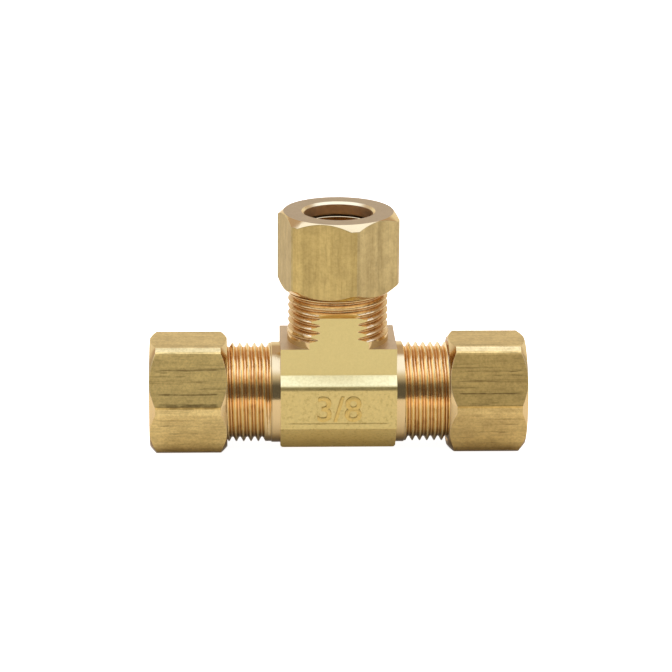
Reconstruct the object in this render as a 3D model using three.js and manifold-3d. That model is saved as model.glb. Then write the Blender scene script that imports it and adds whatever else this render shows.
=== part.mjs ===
import * as THREE from 'three';
import { mergeVertices } from 'three/addons/utils/BufferGeometryUtils.js';
import Module from 'manifold-3d';

// Brass compression tee for 3/8 in tube, in millimetres, +Z up.
// The run lies along X and the branch stands along Z. The two axes cross above the origin,
// and Z = 0 is the plane of the lower flats of the two run nuts, on which the fitting rests.
// In every leg, s is the distance outwards from the crossing and r the distance from its axis.

// Tube and the fits around it
const tubeOd = 9.525;
const socketClearance = 0.09;
const ferruleClearance = 0.05;
const nutHoleClearance = 0.16;
const threadClearance = 0.2;

// Legs of the body
const legWall = 2.292;
const legReach = 21;
const legLip = 0.45;
const socketDepth = 6.5;
const stopLedge = 1.15;
const mouthRise = 1;
const seatHalfAngle = 25;
const neckStep = 0.13;
const neckLength = 1.2;
const drillOverrun = 0.5;
const drillHalfAngle = 59;

// Forged block of the body
const blockWidth = 16.56;
const topRise = 0.93;
const flatRise = 0.455;
const bottomRise = 0.08;
const slabInset = 1.215;
const stripLow = 3.03;
const stripHigh = 4.35;
const endRound = 0.55;
const branchFlatHeight = 4.58;

// Ferrules
const ferruleLength = 5.3;
const ferruleWall = 0.74;
const ferruleTipWall = 0.19;
const seatGap = 0.42;

// Nuts
const nutLength = 10.8;
const nutFlatWall = 0.593;
const nutGap = 0.3;
const nutConeAngle = 45;
const nutConeRise = 1.03;
const nutHoleLand = 1.42;
const nutHoleChamfer = 0.3;
const pocketInset = 0.6;
const pocketLength = 1.25;
const nutChamferInset = 0.09;
const nutChamferAngle = 42;
const nutCornerRound = 1;
const branchNutTurn = 13.5;

// Facets on the round faces, and the length by which a cutting shape runs past what it cuts
const outerFacets = 64;
const innerFacets = 48;
const chamferFacets = 96;
const cornerFacets = 4;
const cutOverrun = 1;

const degrees = THREE.MathUtils.degToRad;
const slope = (angle) => Math.tan(degrees(angle));

// Radii of the tube's way through a leg, a ferrule and a nut
const tubeRadius = tubeOd / 2;
const socketRadius = tubeRadius + socketClearance;
const passageRadius = socketRadius - stopLedge;
const mouthRadius = socketRadius + mouthRise;
const ferruleBore = tubeRadius + ferruleClearance;
const ferruleRadius = ferruleBore + ferruleWall;
const ferruleTipRadius = ferruleBore + ferruleTipWall;
const nutHoleRadius = tubeRadius + nutHoleClearance;

// Outer radii of a leg, and the half sizes of the block that carries the legs
const legRadius = socketRadius + legWall;
const legEndRadius = mouthRadius + legLip;
const neckRadius = legRadius + neckStep;
const blockHalfWidth = blockWidth / 2;
const blockTop = neckRadius + topRise;
const flatHalf = legRadius + flatRise;
const bottomHalf = neckRadius + bottomRise;
const slabHalf = legRadius - slabInset;

// Places along a leg, from the seat in its mouth out to the nut's end face
const tipOnSeat = legReach - (mouthRadius - ferruleTipRadius) / slope(seatHalfAngle);
const ferruleTip = tipOnSeat + seatGap;
const ferruleBack = ferruleTip + ferruleLength;
const coneStart = ferruleBack + nutGap + (ferruleTipRadius - nutHoleRadius) / slope(nutConeAngle);
const nutReach = coneStart + nutHoleLand + nutHoleChamfer;
const nutInnerEnd = nutReach - nutLength;

// Nut section
const nutBoreRadius = legRadius + threadClearance;
const nutHalfFlats = nutBoreRadius + nutFlatWall;
const nutCornerReach = nutHalfFlats / Math.cos(degrees(30));

const wasm = await Module();
wasm.setup();

// Turns a closed three.js geometry into a solid that can be joined and cut
function toSolid(geometry) {
  const bare = geometry.clone();
  bare.deleteAttribute('normal');
  bare.deleteAttribute('uv');
  const merged = mergeVertices(bare);
  const corners = merged.index.array;
  const kept = [];
  for (let i = 0; i < corners.length; i += 3) {
    const [a, b, c] = corners.slice(i, i + 3);
    if (a !== b && b !== c && c !== a) kept.push(a, b, c);
  }
  const vertProperties = new Float32Array(merged.attributes.position.array);
  const triVerts = new Uint32Array(kept);
  return new wasm.Manifold(new wasm.Mesh({ numProp: 3, vertProperties, triVerts }));
}

// Turns a solid back into a geometry with flat facets
function toGeometry(solid) {
  const mesh = solid.getMesh();
  const indexed = new THREE.BufferGeometry();
  indexed.setAttribute('position', new THREE.BufferAttribute(mesh.vertProperties, 3));
  indexed.setIndex(new THREE.BufferAttribute(mesh.triVerts, 1));
  const faceted = indexed.toNonIndexed();
  faceted.computeVertexNormals();
  return faceted;
}

// A turned shape about Z from [r, s] points, which run up the outside and down the inside
function turned(points, facets) {
  const profile = points.map(([r, s]) => new THREE.Vector2(r, s));
  return new THREE.LatheGeometry(profile, facets).rotateX(degrees(90));
}

// A straight bar of the given section, with the middle of its length at the origin
function bar(section, length) {
  const settings = { depth: length, bevelEnabled: false, curveSegments: cornerFacets };
  return new THREE.ExtrudeGeometry(section, settings).translate(0, 0, -length / 2);
}

function polygon(points) {
  return new THREE.Shape(points.map(([x, y]) => new THREE.Vector2(x, y)));
}

const axisX = new THREE.Vector3(1, 0, 0);
const axisY = new THREE.Vector3(0, 1, 0);
const axisZ = new THREE.Vector3(0, 0, 1);

// Section drawn in Y and Z, bar along X
function alongX(geometry) {
  return geometry.applyMatrix4(new THREE.Matrix4().makeBasis(axisY, axisZ, axisX));
}

// Section drawn in X and Z, bar along Y
function alongY(geometry) {
  const back = axisY.clone().negate();
  return geometry.applyMatrix4(new THREE.Matrix4().makeBasis(axisX, axisZ, back));
}

// Turns that lay the Z axis of a leg's shape along the left and the right run leg
const toLeft = -degrees(90);
const toRight = degrees(90);

// The block seen from its end: eight-sided below, with a slimmer slab rising to the top face
function blockEndSection() {
  const facetReach = flatHalf * Math.SQRT2;
  const frontHalf = [
    [facetReach - bottomHalf, -bottomHalf],
    [flatHalf, flatHalf - facetReach],
    [flatHalf, stripLow],
    [slabHalf, stripHigh],
    [slabHalf, blockTop],
  ];
  const backHalf = frontHalf.map(([y, z]) => [-y, z]).reverse();
  return polygon([...frontHalf, ...backHalf]);
}

// The block seen from the front: square above, with rounded lower ends
function blockFrontSection() {
  const section = new THREE.Shape();
  const roundX = blockHalfWidth - endRound;
  const roundZ = endRound - bottomHalf;
  section.moveTo(blockHalfWidth, blockTop);
  section.lineTo(-blockHalfWidth, blockTop);
  section.lineTo(-blockHalfWidth, roundZ);
  section.absarc(-roundX, roundZ, endRound, degrees(180), degrees(270), false);
  section.lineTo(roundX, -bottomHalf);
  section.absarc(roundX, roundZ, endRound, degrees(270), degrees(360), false);
  return section;
}

function block() {
  const depth = flatHalf * 2 + cutOverrun;
  const fromEnd = toSolid(alongX(bar(blockEndSection(), blockWidth + cutOverrun)));
  const fromFront = toSolid(alongY(bar(blockFrontSection(), depth)));
  return fromEnd.intersect(fromFront);
}

// A leg's outside: the neck against the block, the plain barrel that carries the thread, and
// the lead chamfer at its end
function legOutside(shoulder) {
  const neckEnd = shoulder + neckLength;
  const leadStart = legReach - (legRadius - legEndRadius);
  return turned([
    [0, 0],
    [neckRadius, 0],
    [neckRadius, neckEnd],
    [legRadius, neckEnd + neckStep],
    [legRadius, leadStart],
    [legEndRadius, legReach],
    [0, legReach],
  ], outerFacets);
}

// A leg's inside: the passage, the ledge that stops the tube, the socket and the coned mouth
function legInside() {
  const stop = legReach - socketDepth;
  const seatStart = legReach - mouthRise / slope(seatHalfAngle);
  const outside = legReach + cutOverrun;
  const drillPoint = passageRadius / slope(drillHalfAngle);
  return turned([
    [0, -drillOverrun - drillPoint],
    [passageRadius, -drillOverrun],
    [passageRadius, stop],
    [socketRadius, stop],
    [socketRadius, seatStart],
    [mouthRadius, legReach],
    [mouthRadius, outside],
    [0, outside],
  ], innerFacets);
}

// What the forging lacks at the branch's front: the slab's flat runs on up the leg and ends
// in a slope of 45 degrees
function branchFlatCut(side) {
  const flatTop = blockTop + branchFlatHeight;
  const outside = neckRadius + cutOverrun;
  const points = [
    [slabHalf, 0],
    [outside, 0],
    [outside, flatTop + outside - slabHalf],
    [slabHalf, flatTop],
  ];
  const placed = points.map(([y, z]) => [y * side, z]);
  const section = polygon(side > 0 ? placed : placed.reverse());
  return toSolid(alongX(bar(section, outside * 2)));
}

function teeBody() {
  const runOutside = () => legOutside(blockHalfWidth);
  const branch = toSolid(legOutside(blockTop)).subtract(branchFlatCut(1)).subtract(branchFlatCut(-1));
  const forging = block()
    .add(toSolid(runOutside().rotateY(toLeft)))
    .add(toSolid(runOutside().rotateY(toRight)))
    .add(branch);
  return toGeometry(forging
    .subtract(toSolid(legInside().rotateY(toLeft)))
    .subtract(toSolid(legInside().rotateY(toRight)))
    .subtract(toSolid(legInside())));
}

// A ferrule: a plain ring, its front tapered to the seat in the leg and its back to the nut
function ferrule() {
  const taperDepth = ferruleRadius - ferruleTipRadius;
  const frontEnd = ferruleTip + taperDepth / slope(seatHalfAngle);
  const backStart = ferruleBack - taperDepth / slope(nutConeAngle);
  return turned([
    [ferruleBore, ferruleTip],
    [ferruleTipRadius, ferruleTip],
    [ferruleRadius, frontEnd],
    [ferruleRadius, backStart],
    [ferruleTipRadius, ferruleBack],
    [ferruleBore, ferruleBack],
    [ferruleBore, ferruleTip],
  ], innerFacets);
}

// Hexagon with rounded corners and flats square to X
function hexSection() {
  const section = new THREE.Shape();
  const cornerCentre = nutCornerReach - nutCornerRound / Math.cos(degrees(30));
  for (let i = 0; i < 6; i += 1) {
    const corner = 30 + i * 60;
    const x = cornerCentre * Math.cos(degrees(corner));
    const y = cornerCentre * Math.sin(degrees(corner));
    section.absarc(x, y, nutCornerRound, degrees(corner - 30), degrees(corner + 30), false);
  }
  section.closePath();
  return section;
}

// The turned envelope that bevels the hexagon at both ends
function nutChamfers() {
  const ringRadius = nutHalfFlats - nutChamferInset;
  const widest = nutCornerReach + cutOverrun;
  const fall = (widest - ringRadius) * slope(nutChamferAngle);
  return turned([
    [0, nutInnerEnd],
    [ringRadius, nutInnerEnd],
    [widest, nutInnerEnd + fall],
    [widest, nutReach - fall],
    [ringRadius, nutReach],
    [0, nutReach],
  ], chamferFacets);
}

// A nut's inside: the bore over the leg, the pocket beyond it, the cone that drives the
// ferrule, and the hole for the tube
function nutInside() {
  const coneEnd = coneStart - nutConeRise / slope(nutConeAngle);
  const boreEnd = coneEnd - pocketLength;
  const pocketRadius = legRadius - pocketInset;
  const chamferRadius = nutHoleRadius + nutHoleChamfer;
  return turned([
    [0, nutInnerEnd - cutOverrun],
    [nutBoreRadius, nutInnerEnd - cutOverrun],
    [nutBoreRadius, boreEnd],
    [pocketRadius, boreEnd],
    [pocketRadius, coneEnd],
    [nutHoleRadius + nutConeRise, coneEnd],
    [nutHoleRadius, coneStart],
    [nutHoleRadius, coneStart + nutHoleLand],
    [chamferRadius, nutReach],
    [chamferRadius, nutReach + cutOverrun],
    [0, nutReach + cutOverrun],
  ], innerFacets);
}

function nut() {
  const middle = (nutInnerEnd + nutReach) / 2;
  const hexBar = toSolid(bar(hexSection(), nutLength + cutOverrun).translate(0, 0, middle));
  return toGeometry(hexBar.intersect(toSolid(nutChamfers())).subtract(toSolid(nutInside())));
}

const forgedBrass = { color: 0xd1b978, roughness: 0.4, metalness: 1 };
const barBrass = { color: 0xc2a566, roughness: 0.32, metalness: 1 };
const turnedBrass = { color: 0xcf9f63, roughness: 0.28, metalness: 1 };

function piece(name, geometry, finish) {
  const mesh = new THREE.Mesh(geometry, new THREE.MeshStandardMaterial(finish));
  mesh.name = name;
  return mesh;
}

// The ferrule and nut of one leg, in a group whose Z axis is the leg's axis
function connection(side, turn) {
  const group = new THREE.Group();
  const nutPiece = piece(`${side}_nut`, nut(), barBrass);
  nutPiece.rotation.z = degrees(turn);
  group.add(piece(`${side}_ferrule`, ferrule(), turnedBrass));
  group.add(nutPiece);
  return group;
}

const fitting = new THREE.Group();
fitting.position.z = nutHalfFlats;
fitting.add(piece('tee_body', teeBody(), forgedBrass));

const leftLeg = connection('left', 0);
leftLeg.rotation.y = toLeft;
fitting.add(leftLeg);

const rightLeg = connection('right', 0);
rightLeg.rotation.y = toRight;
fitting.add(rightLeg);

const branchLeg = connection('branch', branchNutTurn);
fitting.add(branchLeg);

const group = new THREE.Group();
group.add(fitting);

export default group;
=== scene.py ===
"""Brass compression tee for 3/8 in tube: its looks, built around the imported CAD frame.

The run lies along X and the branch stands along Z. A leg's own frame has Z along the leg,
with its origin where the axes cross. All lengths are in metres.
"""

import math

import bpy
from bpy.props import (FloatProperty, FloatVectorProperty, IntProperty, PointerProperty,
                       StringProperty)
from mathutils import Matrix, Vector


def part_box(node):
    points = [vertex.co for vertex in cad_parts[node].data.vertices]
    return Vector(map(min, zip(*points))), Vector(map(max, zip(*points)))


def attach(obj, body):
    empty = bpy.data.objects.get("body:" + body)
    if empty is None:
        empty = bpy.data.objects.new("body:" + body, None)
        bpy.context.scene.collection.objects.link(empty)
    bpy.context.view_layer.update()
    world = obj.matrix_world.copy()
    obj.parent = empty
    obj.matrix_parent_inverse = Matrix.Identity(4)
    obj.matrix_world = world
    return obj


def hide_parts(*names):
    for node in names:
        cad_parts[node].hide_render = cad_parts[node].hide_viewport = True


bl_info = {
    "name": "Brass compression tee",
    "version": (1, 0, 0),
    "blender": (4, 5, 0),
    "location": "3D View > Sidebar > Fittings",
    "description": "Models and lights a brass compression tee with its nuts and ferrules",
    "category": "Add Mesh",
}

MM = 0.001
FULL_TURN = 2 * math.pi

# Steps of what is turned, cut or softened
TURN_STEPS = 192
THREAD_STEPS = 96
END_CUTS = 5
EDGE_STEPS = 3
STRIP_STEPS = 8
FINE_STEPS = 2
FLOOR_SIDES = 96

# Allowances of the modelling, limits of a face's direction, and a hexagon's half side
MERGE = 0.5e-6
NEAR = 0.01 * MM
OVERRUN = 1 * MM
LEG_SUNK = 2 * MM
FACING = 0.99
SLOPING = 0.5
HALF_SIDE = math.radians(30)

# Shading: angles in degrees up to which edges are smoothed, and the weight of larger faces
SMOOTH = 32
NUT_SMOOTH = 28
MARK_SMOOTH = 40
NORMAL_WEIGHT = 60

# Threads and eased edges, the last as a share of a ferrule's edge round
THREAD_FLANK = math.radians(30)
GROOVE_FROM = 9.3 * MM
GROOVE_RISE = 0.2 * MM
GROOVE_SUNK = 0.3 * MM
GROOVE_TIP = 0.05 * MM
CREST_SOFT = 0.035 * MM
LEDGE_EASE = 0.15 * MM
BACK_EASE = 0.8

# Depths of the finishes' relief, and for a thread its chatter and its strength
FORGED_BUMP = 0.016 * MM
FACED_BUMP = 0.008 * MM
TURNED_BUMP = 0.003 * MM
THREAD_BUMP = 0.008 * MM
BORE_BUMP = 0.004 * MM
DRAWN_BUMP = 0.004 * MM
CHATTER = {"X": (1.6, 0.6), "Z": (7.0, 0.9)}

# Where tones fade in or out: pairs of limits in millimetres
LEG_SHADE_LIMITS = (-6.3, -4.0)
THREAD_SHADE_LIMITS = (-1.0, 0.6)
THREAD_SIDE_SHADE_LIMITS = (2.5, 6.5)
FORGED_SHADE_LIMITS = (0.6, 3.0)
RING_HEIGHT = (27.0, 30.0)
CREASE_END = (6.2, 7.9)
MOUTH_HIGHLIGHT_FADE = (-1.5, 1.5)
RIGHT_HALF = (-1.0, 1.0)
CORNER_HIGHLIGHT_REACH = (8.62, 8.72)
SCORE_FRONT = (3.0, 3.5)
SCORE_START = (16.9, 17.6)
SCORE_END = (24.8, 26.2)

# Widths of softer edges and of the nuts' painted shade, how far lines wander, and the drawn
# lines' shift
NUT_SHADE_HEIGHT = 2.4 * MM
FLAT_FADE = 0.2 * MM
STRIP_RISE = 0.1 * MM
STRIP_EDGE = 0.04 * MM
MOUTH_EDGE = 0.04 * MM
SCORE_SOFT = 0.05 * MM
SCORE_WANDER = 0.25 * MM
CREASE_WANDER = 0.12 * MM
SHIFT = 3.1 * MM

# Light: bands over the object from the camera's side to the back, in degrees, and the sides
LIGHT_BANDS = ((30, 58), (50, 72), (102, 115), (145, 160))
SIDE_FADE = (0.72, 0.95)

# Camera: width of its sensor in millimetres, and the nearest and farthest that it sees
SENSOR_WIDTH = 36
CLIP = (0.01, 100)

# Tint of what the metal reflects at a slant, and tones by which a finish is multiplied
EDGE_TINT = (0.96, 0.88, 0.74, 1.0)
LINE_TONE = (0.70, 0.68, 0.66)
SCORE_TONE = (0.32, 0.31, 0.30)
SPECK_TONE = (0.84, 0.83, 0.82)
SMEAR_TONE = (0.66, 0.54, 0.40)
MOTTLE_TONE = (0.80, 0.78, 0.76)
BAND_TONE = (0.89, 0.88, 0.86)
GRAIN_TONE = (0.91, 0.91, 0.90)
FINE_GRAIN_TONE = (0.95, 0.95, 0.94)
PIT_TONE = (0.82, 0.80, 0.74)
# Painted shade along the die's crease
CREASE_SHADE_TONE = (0.62, 0.60, 0.56)
# Painted shade near the bottom of the forging
FORGED_SHADE_TONE = (0.80, 0.80, 0.78)
# Painted highlight on the run nuts' upper front corner flat
CORNER_HIGHLIGHT_TONE = (1.40, 1.45, 1.60)
# Painted shade over the underside of the run nuts
NUT_SHADE_TONE = (0.44, 0.38, 0.34)
# Painted shade on the underside of the run's legs
LEG_SHADE_TONE = (0.24, 0.18, 0.15)
RING_TONE = (0.74, 0.74, 0.72)
RIGHT_NUT_TONE = (0.87, 0.83, 0.78)
# Painted reflection tint, warmer on the run nuts' upper front flat as it faces the light
FRONT_FLAT_REFLECTION_TONE = (1.02, 0.94, 0.76)
BRANCH_NUT_TONE = (0.795, 0.785, 0.72)
# Painted reflection tones of two branch nut flats, by bearing from the nut's turn
BRANCH_FLAT_REFLECTION_TONES = ((-60, (1.00, 1.04, 1.26)), (-180, (0.88, 0.92, 1.08)))
BRANCH_THREAD_TONE = (0.90, 0.95, 1.04)
# Painted shade on the run threads' lower half
THREAD_SHADE_TONE = (0.81, 0.82, 0.78)
# Painted shade on the branch thread's sides
THREAD_SIDE_SHADE_TONE = (0.66, 0.52, 0.36)
LOWER_TONE = (0.98, 0.90, 0.80)
# Painted highlight on the forged strip
STRIP_HIGHLIGHT_TONE = (1.62, 1.62, 2.00)
# Painted highlight on the turned mouth of a nut's hole
MOUTH_HIGHLIGHT_TONE = (1.10, 1.20, 1.35)

# Bearings across a leg in degrees: a run nut's top and front flats, and the corner between
TOP_FLAT = 90
FRONT_FLAT = 150
FRONT_CORNER = 120

# Marks of the die: side of the run, heights above its axis in mm, and depth of the tone
SCORES = (
    (-1, 5.17, 5.35, 0.75),
    (-1, 2.08, 2.30, 0.8),
    (-1, 0.30, 1.00, 0.75),
    (1, 4.93, 5.05, 0.5),
    (1, 3.65, 3.78, 0.5),
    (1, 2.08, 2.26, 0.8),
)

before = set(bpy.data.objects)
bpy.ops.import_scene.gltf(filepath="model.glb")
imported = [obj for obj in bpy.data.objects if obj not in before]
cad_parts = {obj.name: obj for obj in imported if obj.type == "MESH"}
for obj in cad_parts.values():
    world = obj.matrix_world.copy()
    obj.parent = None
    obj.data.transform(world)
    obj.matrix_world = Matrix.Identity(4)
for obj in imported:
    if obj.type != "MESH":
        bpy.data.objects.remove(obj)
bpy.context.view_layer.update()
AXIS_HEIGHT = (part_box("left_nut")[0].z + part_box("left_nut")[1].z) / 2


def length(name, description, default):
    """A length property, its default given in millimetres."""
    return FloatProperty(name=name, description=description, default=default * MM,
                         min=0.0, precision=6, unit="LENGTH")


def angle(name, description, default):
    """An angle property, its default given in degrees."""
    return FloatProperty(name=name, description=description,
                         default=math.radians(default), subtype="ANGLE", unit="ROTATION")


def colour(name, description, default):
    """A colour property in linear red, green and blue."""
    return FloatVectorProperty(name=name, description=description, default=default,
                               size=3, min=0.0, max=1.0, subtype="COLOR")


def share(name, description, default, highest=1.0):
    """A plain number from 0 to the highest."""
    return FloatProperty(name=name, description=description, default=default,
                         min=0.0, max=highest)


class LegSizes(bpy.types.PropertyGroup):
    """Sizes that the three legs of the body share."""

    radius: length("Leg radius", "Outer radius at the thread's crests", 7.1445)
    reach: length("Leg reach", "From the crossing of the axes to a leg's end face", 21.0)
    end_radius: length("End radius", "Outer radius at the end of the lead chamfer", 6.3025)
    neck_radius: length("Neck radius", "Radius of the plain ring against the block", 7.2745)
    neck_length: length("Neck length", "Length of that ring", 1.2)
    passage_radius: length("Passage radius", "Radius of the way through the body", 3.7025)
    socket_radius: length("Socket radius", "Radius of the tube's socket", 4.8525)
    socket_depth: length("Socket depth", "From a leg's end face to the tube's stop", 6.5)
    mouth_radius: length("Mouth radius", "Radius of the coned mouth at the end face", 5.8525)
    seat_angle: angle("Seat half angle", "Half angle of the mouth's cone", 25.0)
    drill_angle: angle("Drill half angle", "Half angle of the passage's drill point", 59.0)
    drill_overrun: length("Drill overrun", "How far a passage passes the crossing", 0.5)


class ThreadSizes(bpy.types.PropertyGroup):
    """Sizes of the 24-per-inch thread on the legs and in the nuts."""

    pitch: length("Pitch", "Advance of the thread in one turn", 25.4 / 24)
    depth: length("Depth", "Depth of the groove in a leg", 0.64)
    crest_flat: length("Crest flat", "Width of the land between grooves", 0.132)
    root_flat: length("Root flat", "Width of the groove's bottom", 0.12)
    nut_minor: length("Nut minor radius", "Radius of the ridges inside a nut", 6.62)
    nut_major: length("Nut major radius", "Radius of the grooves inside a nut", 7.22)
    fade: angle("Run-in", "Turn over which a leg's groove reaches its depth", 110.0)
    turns: IntProperty(name="Turns", description="Turns of a leg's groove", default=12)
    nut_turns: IntProperty(name="Nut turns", description="Turns of a nut's groove", default=7)


class BlockSizes(bpy.types.PropertyGroup):
    """Sizes of the forged block that carries the legs."""

    half_width: length("Half width", "Half the block's width along the run", 8.28)
    top: length("Top", "Height of its top face above the run's axis", 8.2045)
    bottom: length("Bottom", "Depth of its bottom flat below the run's axis", 7.3545)
    flat_half: length("Lower flats", "Half the distance over the lower flats", 7.5995)
    slab_half: length("Upper flats", "Half the distance over the upper flats", 5.9295)
    strip_low: length("Strip's lower edge", "Its height above the run's axis", 3.03)
    strip_high: length("Strip's upper edge", "Its height above the run's axis", 4.35)
    end_round: length("End round", "Radius at the lower ends", 0.55)
    edge_round: length("Edge round", "Softening of the lower forged edges", 0.12)
    strip_round: length("Strip round", "Softening of the strip's lower edge", 0.6)
    crease: length("Crease", "Depth of the die's crease below the run's axis", 2.33)
    crease_width: length("Crease width", "Width of that crease", 0.16)
    branch_flat: length("Branch flat", "Height of the branch's flat above the block", 4.58)


class MarkSizes(bpy.types.PropertyGroup):
    """The tube's size, raised on the block's front flat."""

    text: StringProperty(name="Text", description="What the mark says", default="3/8")
    size: length("Text size", "Height of a line of text", 5.2)
    rise: length("Rise", "How far the mark stands out of the flat", 0.12)
    soft: length("Soft edge", "Rounding of the mark's edges", 0.06)
    height: length("Height", "Height of its middle above the run's axis", -0.4)


class NutSizes(bpy.types.PropertyGroup):
    """Sizes of the three nuts."""

    length: length("Length", "Length of a nut", 11.1)
    half_flats: length("Half flats", "Half the distance across the flats", 7.9375)
    ring_radius: length("Ring radius", "Radius of the flat ring on the end faces", 7.8475)
    chamfer_angle: angle("Chamfer angle", "Slope of the turned chamfers", 42.0)
    corner_flat: length("Corner flat", "Distance by which each corner's flat is set back", 0.68)
    edge_round: length("Edge round", "Softening of the edges of the flats", 0.05)
    hole_radius: length("Hole radius", "Radius of the tube's hole", 4.9225)
    hole_land: length("Hole land", "Length of the hole's plain wall", 1.38)
    hole_chamfer: length("Hole chamfer", "Countersink at the hole's outer edge", 0.34)
    cone_rise: length("Cone rise", "Rise of the cone that drives the ferrule", 1.03)
    pocket_radius: length("Pocket radius", "Radius of the pocket beyond the thread", 6.5445)
    pocket_length: length("Pocket length", "Length of that pocket", 1.25)
    mouth_radius: length("Mouth radius", "Radius of the thread's countersink", 7.3445)
    gap: length("Gap", "Play between the ferrule and the cone", 0.3)
    branch_turn: angle("Branch turn", "Turn of the branch nut about its axis", 13.5)


class FerruleSizes(bpy.types.PropertyGroup):
    """Sizes of the three ferrules."""

    length: length("Length", "Length of a ferrule", 5.3)
    bore: length("Bore", "Inner radius of a ferrule", 4.8125)
    radius: length("Radius", "Outer radius of its barrel", 5.5525)
    tip_radius: length("Tip radius", "Outer radius at its two ends", 5.0025)
    seat_gap: length("Seat gap", "Distance from the seat before tightening", 0.42)
    edge_round: length("Edge round", "Softening of the barrel's edges", 0.12)
    lip: length("Lip", "Softening of the bore's edges", 0.06)


class Finishes(bpy.types.PropertyGroup):
    """Colours and gloss of the brass."""

    forged: colour("Forged brass", "Colour of the forged block", (0.655, 0.535, 0.216))
    drawn: colour("Drawn brass", "Colour of the nuts' flats", (0.73, 0.55, 0.217))
    turned: colour("Turned brass", "Colour of turned faces", (0.65, 0.475, 0.225))
    faced: colour("Faced brass", "Colour of faced ends", (0.61, 0.47, 0.305))
    thread: colour("Cut thread", "Colour of the thread's ridges", (0.97, 0.77, 0.44))
    root: colour("Thread root", "Colour of the thread's grooves", (0.76, 0.47, 0.20))
    bore: colour("Nut bore", "Colour inside the nuts' holes", (0.90, 0.62, 0.34))
    mark: colour("Size mark", "Colour of the raised mark", (0.66, 0.49, 0.16))
    forged_rough: share("Forged roughness", "Roughness of the forged faces", 0.38)
    drawn_rough: share("Drawn roughness", "Roughness of the nuts' flats", 0.38)
    turned_rough: share("Turned roughness", "Roughness of the turned faces", 0.1)
    faced_rough: share("Faced roughness", "Roughness of the faced ends", 0.42)
    bore_rough: share("Bore roughness", "Roughness inside the nuts' holes", 0.34)


class StageSettings(bpy.types.PropertyGroup):
    """Camera, floor and light."""

    distance: length("Camera distance", "From the camera to what it aims at", 410.881)
    aim_height: length("Aim height", "Height of what the camera aims at", 16.31)
    aim_side: FloatProperty(name="Aim side", description="Its place along the run",
                            default=-0.217 * MM, unit="LENGTH", precision=6)
    elevation: angle("Elevation", "Camera above the horizon", 17.258)
    swing: angle("Swing", "Camera round the object, to the right", -2.194)
    roll: angle("Roll", "Camera about its own axis", 0.414)
    lens: FloatProperty(name="Lens", description="Focal length on a 36 mm sensor",
                        default=152.958, unit="CAMERA")
    floor_radius: length("Floor radius", "Radius of the pale floor", 5000.0)
    floor: colour("Floor", "Colour of the floor", (1.0, 0.88, 0.68))
    camera_glow: share("Floor glow", "Glow of the floor that the camera sees", 0.95)
    glossy_glow: share("Reflected glow", "Glow of the floor that the metal shows", 0.20)
    above: share("Light above", "Strength of the wide light above", 1.07, 10.0)
    overhead: share("Overhead light", "Further strength right overhead", 1.85, 10.0)
    overhead_tint: colour("Overhead tint", "Cool tint right overhead", (0.31, 0.47, 1.0))
    background: share("Background light", "Strength low behind the object", 1.16, 10.0)
    rear: share("Rear light", "Strength high behind the object", 0.73, 10.0)
    rear_tint: colour("Rear tint", "Warm tint of the light behind", (1.0, 0.84, 0.8))
    front: share("Front light", "Strength behind the camera", 0.16, 10.0)
    sides: share("Side light", "Strength at both sides", 0.65, 10.0)


# For each leg: its direction, the tilt of its own Z in degrees, a ridge's place along it in
# millimetres, and the angle in degrees at which its groove starts
LEGS = {
    "left": {"along": "X", "tilt": -90.0, "groove": 0.2523, "start": -170.0},
    "right": {"along": "X", "tilt": 90.0, "groove": 0.3102, "start": 20.0},
    "branch": {"along": "Z", "tilt": 0.0, "groove": 0.931, "start": -200.0},
}


def seat_tip(scene):
    """Distance along a leg to a ferrule's front end."""
    legs, ferrule = scene.tee_legs, scene.tee_ferrules
    depth = (legs.mouth_radius - ferrule.tip_radius) / math.tan(legs.seat_angle)
    return legs.reach - depth + ferrule.seat_gap


def cone_start(scene):
    """Distance along a leg to the small end of the nut's cone."""
    ferrule, nut = scene.tee_ferrules, scene.tee_nuts
    back = seat_tip(scene) + ferrule.length
    return back + nut.gap + ferrule.tip_radius - nut.hole_radius


def nut_reach(scene):
    """Distance along a leg to the nut's outer face."""
    nut = scene.tee_nuts
    return cone_start(scene) + nut.hole_land + nut.hole_chamfer


# Modelling


def enter_edit():
    bpy.ops.object.mode_set(mode="EDIT")


def leave_edit():
    bpy.ops.object.mode_set(mode="OBJECT")


def clear_selection():
    if bpy.context.object and bpy.context.object.mode != "OBJECT":
        leave_edit()
    bpy.ops.object.select_all(action="DESELECT")


def activate(piece):
    clear_selection()
    piece.select_set(True)
    bpy.context.view_layer.objects.active = piece


def edit(piece):
    activate(piece)
    enter_edit()


def select_parts(piece, kind, wanted):
    """In edit mode, selects the edges or the faces that pass the test."""
    bpy.ops.mesh.select_mode(type=kind)
    bpy.ops.mesh.select_all(action="DESELECT")
    leave_edit()
    for part in piece.data.edges if kind == "EDGE" else piece.data.polygons:
        part.select = wanted(part)
    enter_edit()


def select_edges(piece, wanted):
    """In edit mode, selects the edges whose two ends pass the test."""
    def both_ends(line):
        return wanted(*(piece.data.vertices[end].co for end in line.vertices))
    select_parts(piece, "EDGE", both_ends)


def select_material_border(piece):
    """In edit mode, selects the edges between faces of two materials."""
    beside = {}
    for face in piece.data.polygons:
        for key in face.edge_keys:
            beside.setdefault(key, set()).add(face.material_index)
    select_parts(piece, "EDGE", lambda line: len(beside[line.key]) > 1)


def finish_faces(piece, material, wanted):
    """Gives a further material to the faces that pass the test."""
    piece.data.materials.append(material)
    edit(piece)
    select_parts(piece, "FACE", wanted)
    piece.active_material_index = len(piece.data.materials) - 1
    bpy.ops.object.material_slot_assign()
    leave_edit()


def soften_edges(offset, segments):
    """In edit mode, bevels the selected edges."""
    bpy.ops.mesh.bevel(offset=offset, segments=segments, affect="EDGES")


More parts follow.
